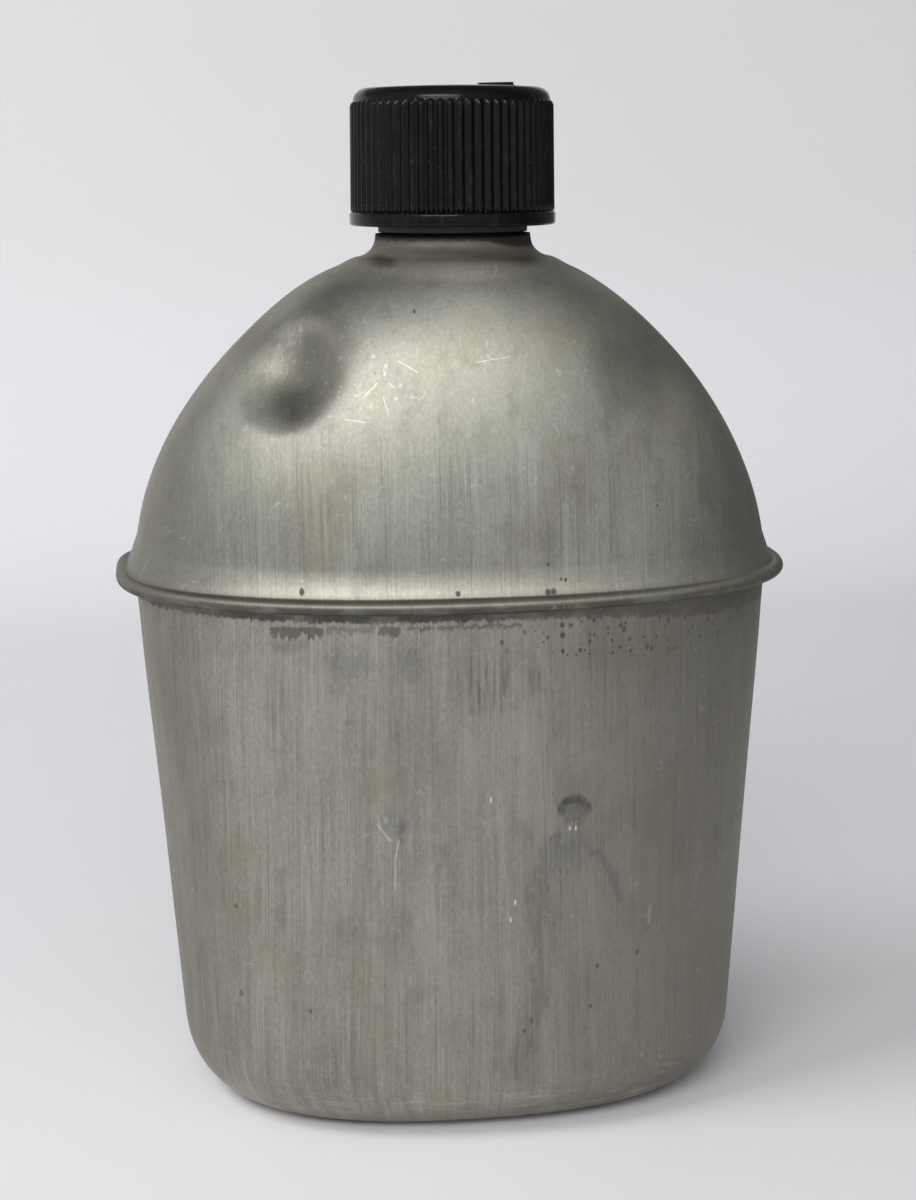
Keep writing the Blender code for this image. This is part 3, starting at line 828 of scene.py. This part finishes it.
def dome_scratches(surface):
    """A few bright scratches, and fine ones that are thickest round the left dent."""
    lines = [[(0.0004, 0.1501), (0.0069, 0.1510)], [(-0.0140, 0.1505), (-0.0105, 0.1485)]]
    lines += [[(0.0145, 0.1385), (0.0153, 0.1377), (0.0156, 0.1362)]]
    lines += [[(-0.0205, 0.1440), (-0.0180, 0.1465)], [(-0.0170, 0.1440), (-0.0160, 0.1405)]]
    lines += [[(-0.0240, 0.1400), (-0.0205, 0.1395)]]
    lines = widest([surface.path(points, 0.00010, 0.5) for points in lines])
    surface.mark(lines, 0.32, "#f4f3ec", 0.38)
    near_dent = surface.spot(-0.0220, 0.1470, 0.0200, 0.0120, 0.2, 0.8)
    surface.mark(surface.scratches(hairline, 0.0022, 71.0) * near_dent, 0.35, "#e6e5dd", 0.40)
    surface.mark(surface.scratches(0.00014, 0.0030, 75.0) * near_dent, 0.45, "#55534e")
    surface.mark(surface.scratches(hairline, 0.0045, 81.0), 0.22, "#dddcd4", 0.4)


def upper_marks(surface):
    """Grime and painted shade in the groove's crease, grime on the bead and up at the neck, and grime
    with painted shade under the cap, with the dome's own marks between.
    """
    normal = add_node(surface.tree, "ShaderNodeNewGeometry").outputs["Normal"]
    upward = split(surface.tree, normal)[2]
    # Painted shade with grime: darkens the crease between the fillet and the bead.
    groove = upward.fade(0.2, 0.5) * surface.z.drop(rim_top - 0.0002, rim_top + 0.0012)
    surface.mark(groove, 0.40, "#68655b", 0.55, 0.9)
    patchy = surface.noise(0.0035, (2, 2, 1), 4.0, 47.0).fade(0.32, 0.58, 0.6, 1.0)
    bead = surface.z.drop(rim_top - 0.0016, rim_top - 0.0004)
    surface.mark(bead * patchy, 0.85, "#47433b", 0.6, 0.7)
    cloudy = surface.noise(0.004, (1, 1, 0.8), 4.0, 95.0).fade(0.3, 0.6, 0.55, 1.0)
    near_neck = surface.z.fade(lip_top - 0.0099, lip_top - 0.0057)
    surface.mark(near_neck * cloudy, 0.75, "#68655a", 0.6, 0.35)
    dent_marks(surface)
    dome_stains(surface)
    dome_scratches(surface)
    # Painted shade with grime under the cap's overhang: brown over the top of the flare, near black on
    # the lip just below the cap.
    surface.mark(surface.z.fade(lip_top - 0.0039, lip_top - 0.0017), 0.45, "#4a4034", 0.6, 0.3)
    level = surface.x.fade(0.002, 0.012, lip_top - 0.0012, lip_top - 0.0025)
    above = surface.z - (level + surface.wobble(0.0012))
    surface.mark(above.fade(-0.0002, 0.0005), 0.95, "#1c1712", 0.6, 0.1)


upper_steel = steel_material("brushed stainless, upper shell", dome_tones, upper_marks)
upper_piece = as_piece("upper_shell_steel", upper_mesh, "canteen", "upper_shell", upper_steel)
sheet_wall(upper_piece)

# Neck collar: a short spout rolled and threaded from thicker steel, soldered into the lip.
# Its coarse right-hand thread is rolled in, so crest and groove are both round.
neck_height = 0.0228
neck_wall = 0.0015
collar_tail = 0.0060
tail_wall = 0.0008
collar_clearance = 0.0005
thread_pitch = 0.0050
thread_depth = 0.0012
thread_fade = 0.0015
neck_thread_start = 0.0045
neck_thread_stop = 0.0015
neck_columns = 144
radius_slack = 0.00002  # a face this near the thread's radius is cut with it
mouth_height = lip_top + neck_height
tail_radius = lip_radius - sheet - collar_clearance
bore_radius = tail_radius - tail_wall
neck_radius = bore_radius + neck_wall


def round_ring(radius, z, count=neck_columns):
    spots = [tau * index / count for index in range(count)]
    return [Vector((radius * cos(t), radius * sin(t) + neck_y, z)) for t in spots]


def turned_tree(name, values, relief):
    """Geometry nodes, with an input for each of the values, that give a turned piece a relief.

    relief(given, angle, radius, z) says which points move and how far they move out.
    """
    sizes = [size for size in values if size != "Material"]
    tree = bpy.data.node_groups.new(name, "GeometryNodeTree")
    face = tree.interface
    face.new_socket("Geometry", in_out="INPUT", socket_type="NodeSocketGeometry")
    for size in sizes:
        face.new_socket(size, in_out="INPUT", socket_type="NodeSocketFloat")
    face.new_socket("Material", in_out="INPUT", socket_type="NodeSocketMaterial")
    face.new_socket("Geometry", in_out="OUTPUT", socket_type="NodeSocketGeometry")
    inputs = add_node(tree, "NodeGroupInput").outputs
    given = {size: Field(tree, inputs[size]) for size in sizes}
    x, y, z = split(tree, add_node(tree, "GeometryNodeInputPosition").outputs[0])
    y = y - given["Axis Y"]
    flat = add_node(tree, "ShaderNodeCombineXYZ", {0: x, 1: y}).outputs[0]
    radius = add_node(tree, "ShaderNodeVectorMath", {0: flat}, operation="LENGTH").outputs[1]
    chosen, height = relief(given, y.then("ARCTAN2", x), Field(tree, radius), z)
    outward = add_node(tree, "ShaderNodeVectorMath", {0: flat}, operation="NORMALIZE").outputs[0]
    push = add_node(tree, "ShaderNodeVectorMath", {0: outward, "Scale": height}, operation="SCALE")
    sockets = {"Geometry": inputs["Geometry"], "Selection": chosen, "Offset": push.outputs[0]}
    moved = add_node(tree, "GeometryNodeSetPosition", sockets).outputs[0]
    real = add_node(tree, "GeometryNodeRealizeInstances", {0: moved}).outputs[0]
    sockets = {"Geometry": real, "Material": inputs["Material"]}
    painted = add_node(tree, "GeometryNodeSetMaterial", sockets).outputs[0]
    add_node(tree, "NodeGroupOutput", {0: painted})
    return tree


def thread_relief(given, angle, radius, z):
    """A round thread on the faces at Radius, that fades away towards both of its ends."""
    wave = (z / given["Pitch"] * tau - angle).then("COSINE")
    ridge = wave * 0.5 + given["Phase"]
    rise = (z - given["Start"]) / given["Fade"]
    fall = (given["Stop"] - z) / given["Fade"]
    ends = rise.then("MINIMUM", fall).then("MINIMUM", 1.0).then("MAXIMUM", 0.0)
    at_radius = (radius - given["Radius"]).then("ABSOLUTE").then("LESS_THAN", radius_slack)
    return at_radius, ridge * ends * given["Depth"]


def grown(mesh, tree, values):
    """The plain mesh that a geometry nodes tree makes from mesh with the values given."""
    blank = bpy.data.objects.new("blank", mesh)
    bpy.context.scene.collection.objects.link(blank)
    modifier = blank.modifiers.new("nodes", "NODES")
    modifier.node_group = tree
    for item in tree.interface.items_tree:
        if item.item_type == "SOCKET" and item.in_out == "INPUT" and item.name in values:
            modifier[item.identifier] = values[item.name]
    graph = bpy.context.evaluated_depsgraph_get()
    result = bpy.data.meshes.new_from_object(blank.evaluated_get(graph))
    bpy.data.objects.remove(blank)
    result.shade_smooth()
    return result


seat = lip_top + fit_gap
rings = [round_ring(tail_radius, lip_top - collar_tail), round_ring(tail_radius, seat)]
rings.extend(round_ring(radius, seat) for radius in (tail_radius + 0.0001, neck_radius - 0.0002))
rings.append(round_ring(neck_radius - 0.00006, seat + 0.00006))
for z in steps(seat + 0.0002, mouth_height - 0.0008, 96):
    rings.append(round_ring(neck_radius, z))
for angle in steps(0, pi, 10)[1:-1]:
    middle = (neck_radius + bore_radius) / 2
    half = (neck_radius - bore_radius) / 2
    rings.append(round_ring(middle + half * cos(angle), mouth_height - half + half * sin(angle)))
rings.append(round_ring(bore_radius, mouth_height - 0.0010))
rings.append(round_ring(bore_radius, lip_top - collar_tail))


def collar_marks(surface):
    """Old grease and dirt at the foot of the spout, thinner up on the thread; the foot's near-black band
    is also painted shade under the cap.
    """
    patches = surface.noise(0.003, (1, 1, 0.6), 4.0, 91.0).fade(0.45, 0.62)
    surface.mark(patches, 0.45, "#5a5142", 0.6, 0.7)
    # Painted shade with grime: the foot is near black where the cap overhangs it.
    foot = surface.z.drop(lip_top + 0.0035, lip_top + 0.0060)
    surface.mark(foot, 0.95, "#1c1712", 0.6, 0.1)


collar_steel = steel_material("brushed stainless, neck", dome_tones, collar_marks)
thread_values = {
    "Pitch": thread_pitch,
    "Depth": thread_depth,
    "Start": lip_top + neck_thread_start,
    "Stop": mouth_height - neck_thread_stop,
    "Fade": thread_fade,
    "Radius": neck_radius,
    "Axis Y": neck_y,
    "Phase": 0.5,  # the thread stands out from the neck
    "Material": collar_steel,
}
thread = turned_tree("screw thread", thread_values, thread_relief)
collar_mesh = grown(skin("collar_blank", rings, loop=True), thread, thread_values)
as_piece("neck_collar_steel", collar_mesh, "canteen", "neck_collar", collar_steel)

# Liner: a grey rubber disc that lies loose in the crown and seals on the neck's mouth, which
# has pressed a shallow ring into it.
liner_thickness = 0.0020
liner_clearance = 0.0004
liner_edge = 0.0003
seal_mark = 0.00015
thread_clearance = 0.0004
cap_bore = neck_radius + thread_depth + thread_clearance
liner_radius = cap_bore - liner_clearance
liner_bottom = mouth_height + fit_gap
liner_top = liner_bottom + liner_thickness
rings = []
for share in steps(0, 1, 24)[1:]:
    radius = (liner_radius - liner_edge) * share
    press = hollow(abs(radius - (neck_radius + bore_radius) / 2), 0.0011)
    rings.append(round_ring(radius, liner_bottom + seal_mark * press))
for angle in steps(-pi / 2, pi / 2, 8):
    level = liner_bottom + liner_edge if angle < 0 else liner_top - liner_edge
    radius = liner_radius - liner_edge + liner_edge * cos(angle)
    rings.append(round_ring(radius, level + liner_edge * sin(angle)))
rings.append(round_ring(liner_radius * 0.5, liner_top))
liner_mesh = skin("liner_disc", rings, start_cap=True, end_cap=True)
rubber, tree, shader = new_material("moulded grey rubber")
coords = add_node(tree, "ShaderNodeTexCoord").outputs["Object"]
dust = stretched_noise(tree, coords, 0.003, detail=5.0, seed=11.0).fade(0.35, 0.7)
shades = {0: dust, 6: linear("#3a3632"), 7: linear("#5c564e")}
shade = add_node(tree, "ShaderNodeMix", shades, data_type="RGBA").outputs[2]
plug(tree, shader, {"Base Color": shade, "Roughness": 0.8})
as_piece("liner_rubber", liner_mesh, "liner", "cap_liner", rubber)

# Cap: moulded black phenolic with 66 ribs for grip, a smooth ring round the bottom and a
# gently domed crown. The low stump on the crown is what is left of the lug for the chain.
cap_standoff = 0.0016
cap_wall = 0.00295
ring_height = 0.0027
ring_stands = 0.0004
rib_count = 66
rib_depth = 0.0006
rib_draft = 0.0002
rib_foot = 0.0001  # height over which a rib comes up to its full depth
rib_end_round = 0.0009
crown_thickness = 0.0028
crown_round = 0.0025
crown_rise = 0.0005
mouth_relief = 0.0020
cap_bottom = lip_top + cap_standoff
crown_underside = mouth_height + liner_thickness + 2 * fit_gap
cap_top = crown_underside + crown_thickness
columns_per_rib = 8


def rib_relief(given, angle, radius, z):
    """Round-topped ribs outside Inside, that start square and round off at their tops."""
    rib = (angle * given["Count"]).then("COSINE").then("MULTIPLY_ADD", 0.5, 0.5).then("POWER", 0.8)
    rise = (z - given["Start"]) / rib_foot
    fall = (given["Stop"] - z) / given["End Round"]
    fall = fall.then("MAXIMUM", 0.0).then("MINIMUM", 1.0).then("POWER", 0.5)
    ends = rise.then("MINIMUM", fall).then("MAXIMUM", 0.0)
    return radius.then("GREATER_THAN", given["Inside"]), rib * ends * given["Depth"]


cap_columns = rib_count * columns_per_rib
rib_root = cap_bore + cap_wall
cap_radius = rib_root + rib_depth + ring_stands
shoulder = cap_top - crown_rise - crown_round
ring_top = cap_bottom + ring_height
edge = 0.0006  # rounding of the ring's edges


def cap_ring(radius, z):
    return round_ring(radius, z, cap_columns)


rings = [cap_ring(cap_bore * 0.5, crown_underside), cap_ring(cap_bore, crown_underside)]
low = cap_bottom + mouth_relief
high = mouth_height - thread_fade
rings.extend(cap_ring(cap_bore, z) for z in steps(high, low, 56))
for angle in steps(0, pi / 2, 3):
    radius = cap_bore + edge * (1 - cos(angle))
    rings.append(cap_ring(radius, cap_bottom + edge * (1 - sin(angle))))
for angle in steps(-pi / 2, 0, 4):
    radius = cap_radius - edge + edge * cos(angle)
    rings.append(cap_ring(radius, cap_bottom + edge * (1 + sin(angle))))
for angle in steps(0, pi / 2, 5):
    radius = cap_radius - edge + edge * cos(angle)
    rings.append(cap_ring(radius, ring_top - edge * (1 - sin(angle))))
rings.append(cap_ring(rib_root + rib_draft, ring_top))
for z in steps(ring_top + 0.0001, shoulder - 0.0012, 10) + steps(shoulder - 0.0011, shoulder, 8):
    draft = rib_draft * (shoulder - z) / (shoulder - ring_top)
    rings.append(cap_ring(rib_root + draft, z))
for angle in steps(0, pi / 2, 12)[1:]:
    radius = rib_root - crown_round * (1 - cos(angle))
    rings.append(cap_ring(radius, shoulder + crown_round * sin(angle)))
for share in steps(1, 0, 5)[1:-1]:
    radius = (rib_root - crown_round) * share
    rings.append(cap_ring(radius, cap_top - crown_rise * share * share))
cap_blank = skin("cap_blank", rings, start_cap=True, end_cap=True)

phenolic, tree, shader = new_material("moulded black phenolic")
coords = add_node(tree, "ShaderNodeTexCoord").outputs["Object"]
worn = stretched_noise(tree, coords, 0.004, detail=6.0, seed=5.0)
speck = stretched_noise(tree, coords, 0.0006, detail=2.0, seed=9.0)
rubbed_and_sheen = stretched_noise(tree, coords, 0.0015, (1, 1, 3), 4.0, seed=15.0).fade(0.50, 0.70)
dust = stretched_noise(tree, coords, 0.0025, detail=5.0, seed=19.0).fade(0.56, 0.70)
x, y = split(tree, coords)[:2]
flat = add_node(tree, "ShaderNodeCombineXYZ", {0: x, 1: y - neck_y}).outputs[0]
radius = add_node(tree, "ShaderNodeVectorMath", {0: flat}, operation="LENGTH").outputs[1]
crest = Field(tree, radius).fade(rib_root + 0.5 * rib_depth, rib_root + rib_depth)
shade = linear("#030303")
layers = [(worn.fade(0.45, 0.8), "#0a0908"), (speck.fade(0.70, 0.78), "#4a463f")]
# Painted highlight with wear: the rib crests are lightened where they rub and where they would catch the
# light.
layers += [(crest * rubbed_and_sheen * 0.30, "#2c2a26"), (dust * 0.12, "#463e30")]
for share, colour in layers:
    shades = {0: share, 6: shade, 7: linear(colour)}
    shade = add_node(tree, "ShaderNodeMix", shades, data_type="RGBA").outputs[2]
bump = add_node(tree, "ShaderNodeBump", {"Height": speck, "Distance": 0.00003, "Strength": 0.4})
finish = {"Base Color": shade, "Roughness": worn.fade(0.3, 0.7, 0.12, 0.22)}
finish.update({"Specular IOR Level": 0.20, "Normal": bump.outputs[0]})
plug(tree, shader, finish)

rib_values = {
    "Count": float(rib_count),
    "Depth": rib_depth,
    "Start": ring_top,
    "Stop": shoulder,
    "End Round": rib_end_round,
    "Axis Y": neck_y,
    "Inside": rib_root - 0.00005,
    "Material": phenolic,
}
cap_thread_values = {
    "Pitch": thread_pitch,
    "Depth": thread_depth,
    "Start": low,
    "Stop": high,
    "Fade": thread_fade,
    "Radius": cap_bore,
    "Axis Y": neck_y,
    "Phase": -0.5,  # the thread is cut into the cap
    "Material": phenolic,
}
ribs = turned_tree("grip ribs", rib_values, rib_relief)
cap_mesh = grown(grown(cap_blank, ribs, rib_values), thread, cap_thread_values)

lug_offset = 0.0085
lug_length = 0.0076
lug_width = 0.0036
lug_stands = 0.0009
lug_root = 0.0009
lug_edge = 0.0004
lug_middle = Vector((lug_offset, neck_y, cap_top - crown_rise + (lug_stands - lug_root) / 2))
lug_size = Vector((lug_length, lug_width, lug_stands + lug_root))
bm = bmesh.new()
bmesh.ops.create_cube(bm, size=1)
bm.transform(Matrix.Translation(lug_middle) @ Matrix.Diagonal(lug_size).to_4x4())
bmesh.ops.bevel(bm, geom=list(bm.edges), offset=lug_edge, segments=2, affect="EDGES")
for vertex in bm.verts:
    vertex.co.z += 0.0003 * noise.noise(vertex.co / 0.0015)  # the break is rough
bm.from_mesh(cap_mesh)
bm.to_mesh(cap_mesh)
bm.free()
as_piece("cap_phenolic", cap_mesh, "cap", "cap", phenolic)
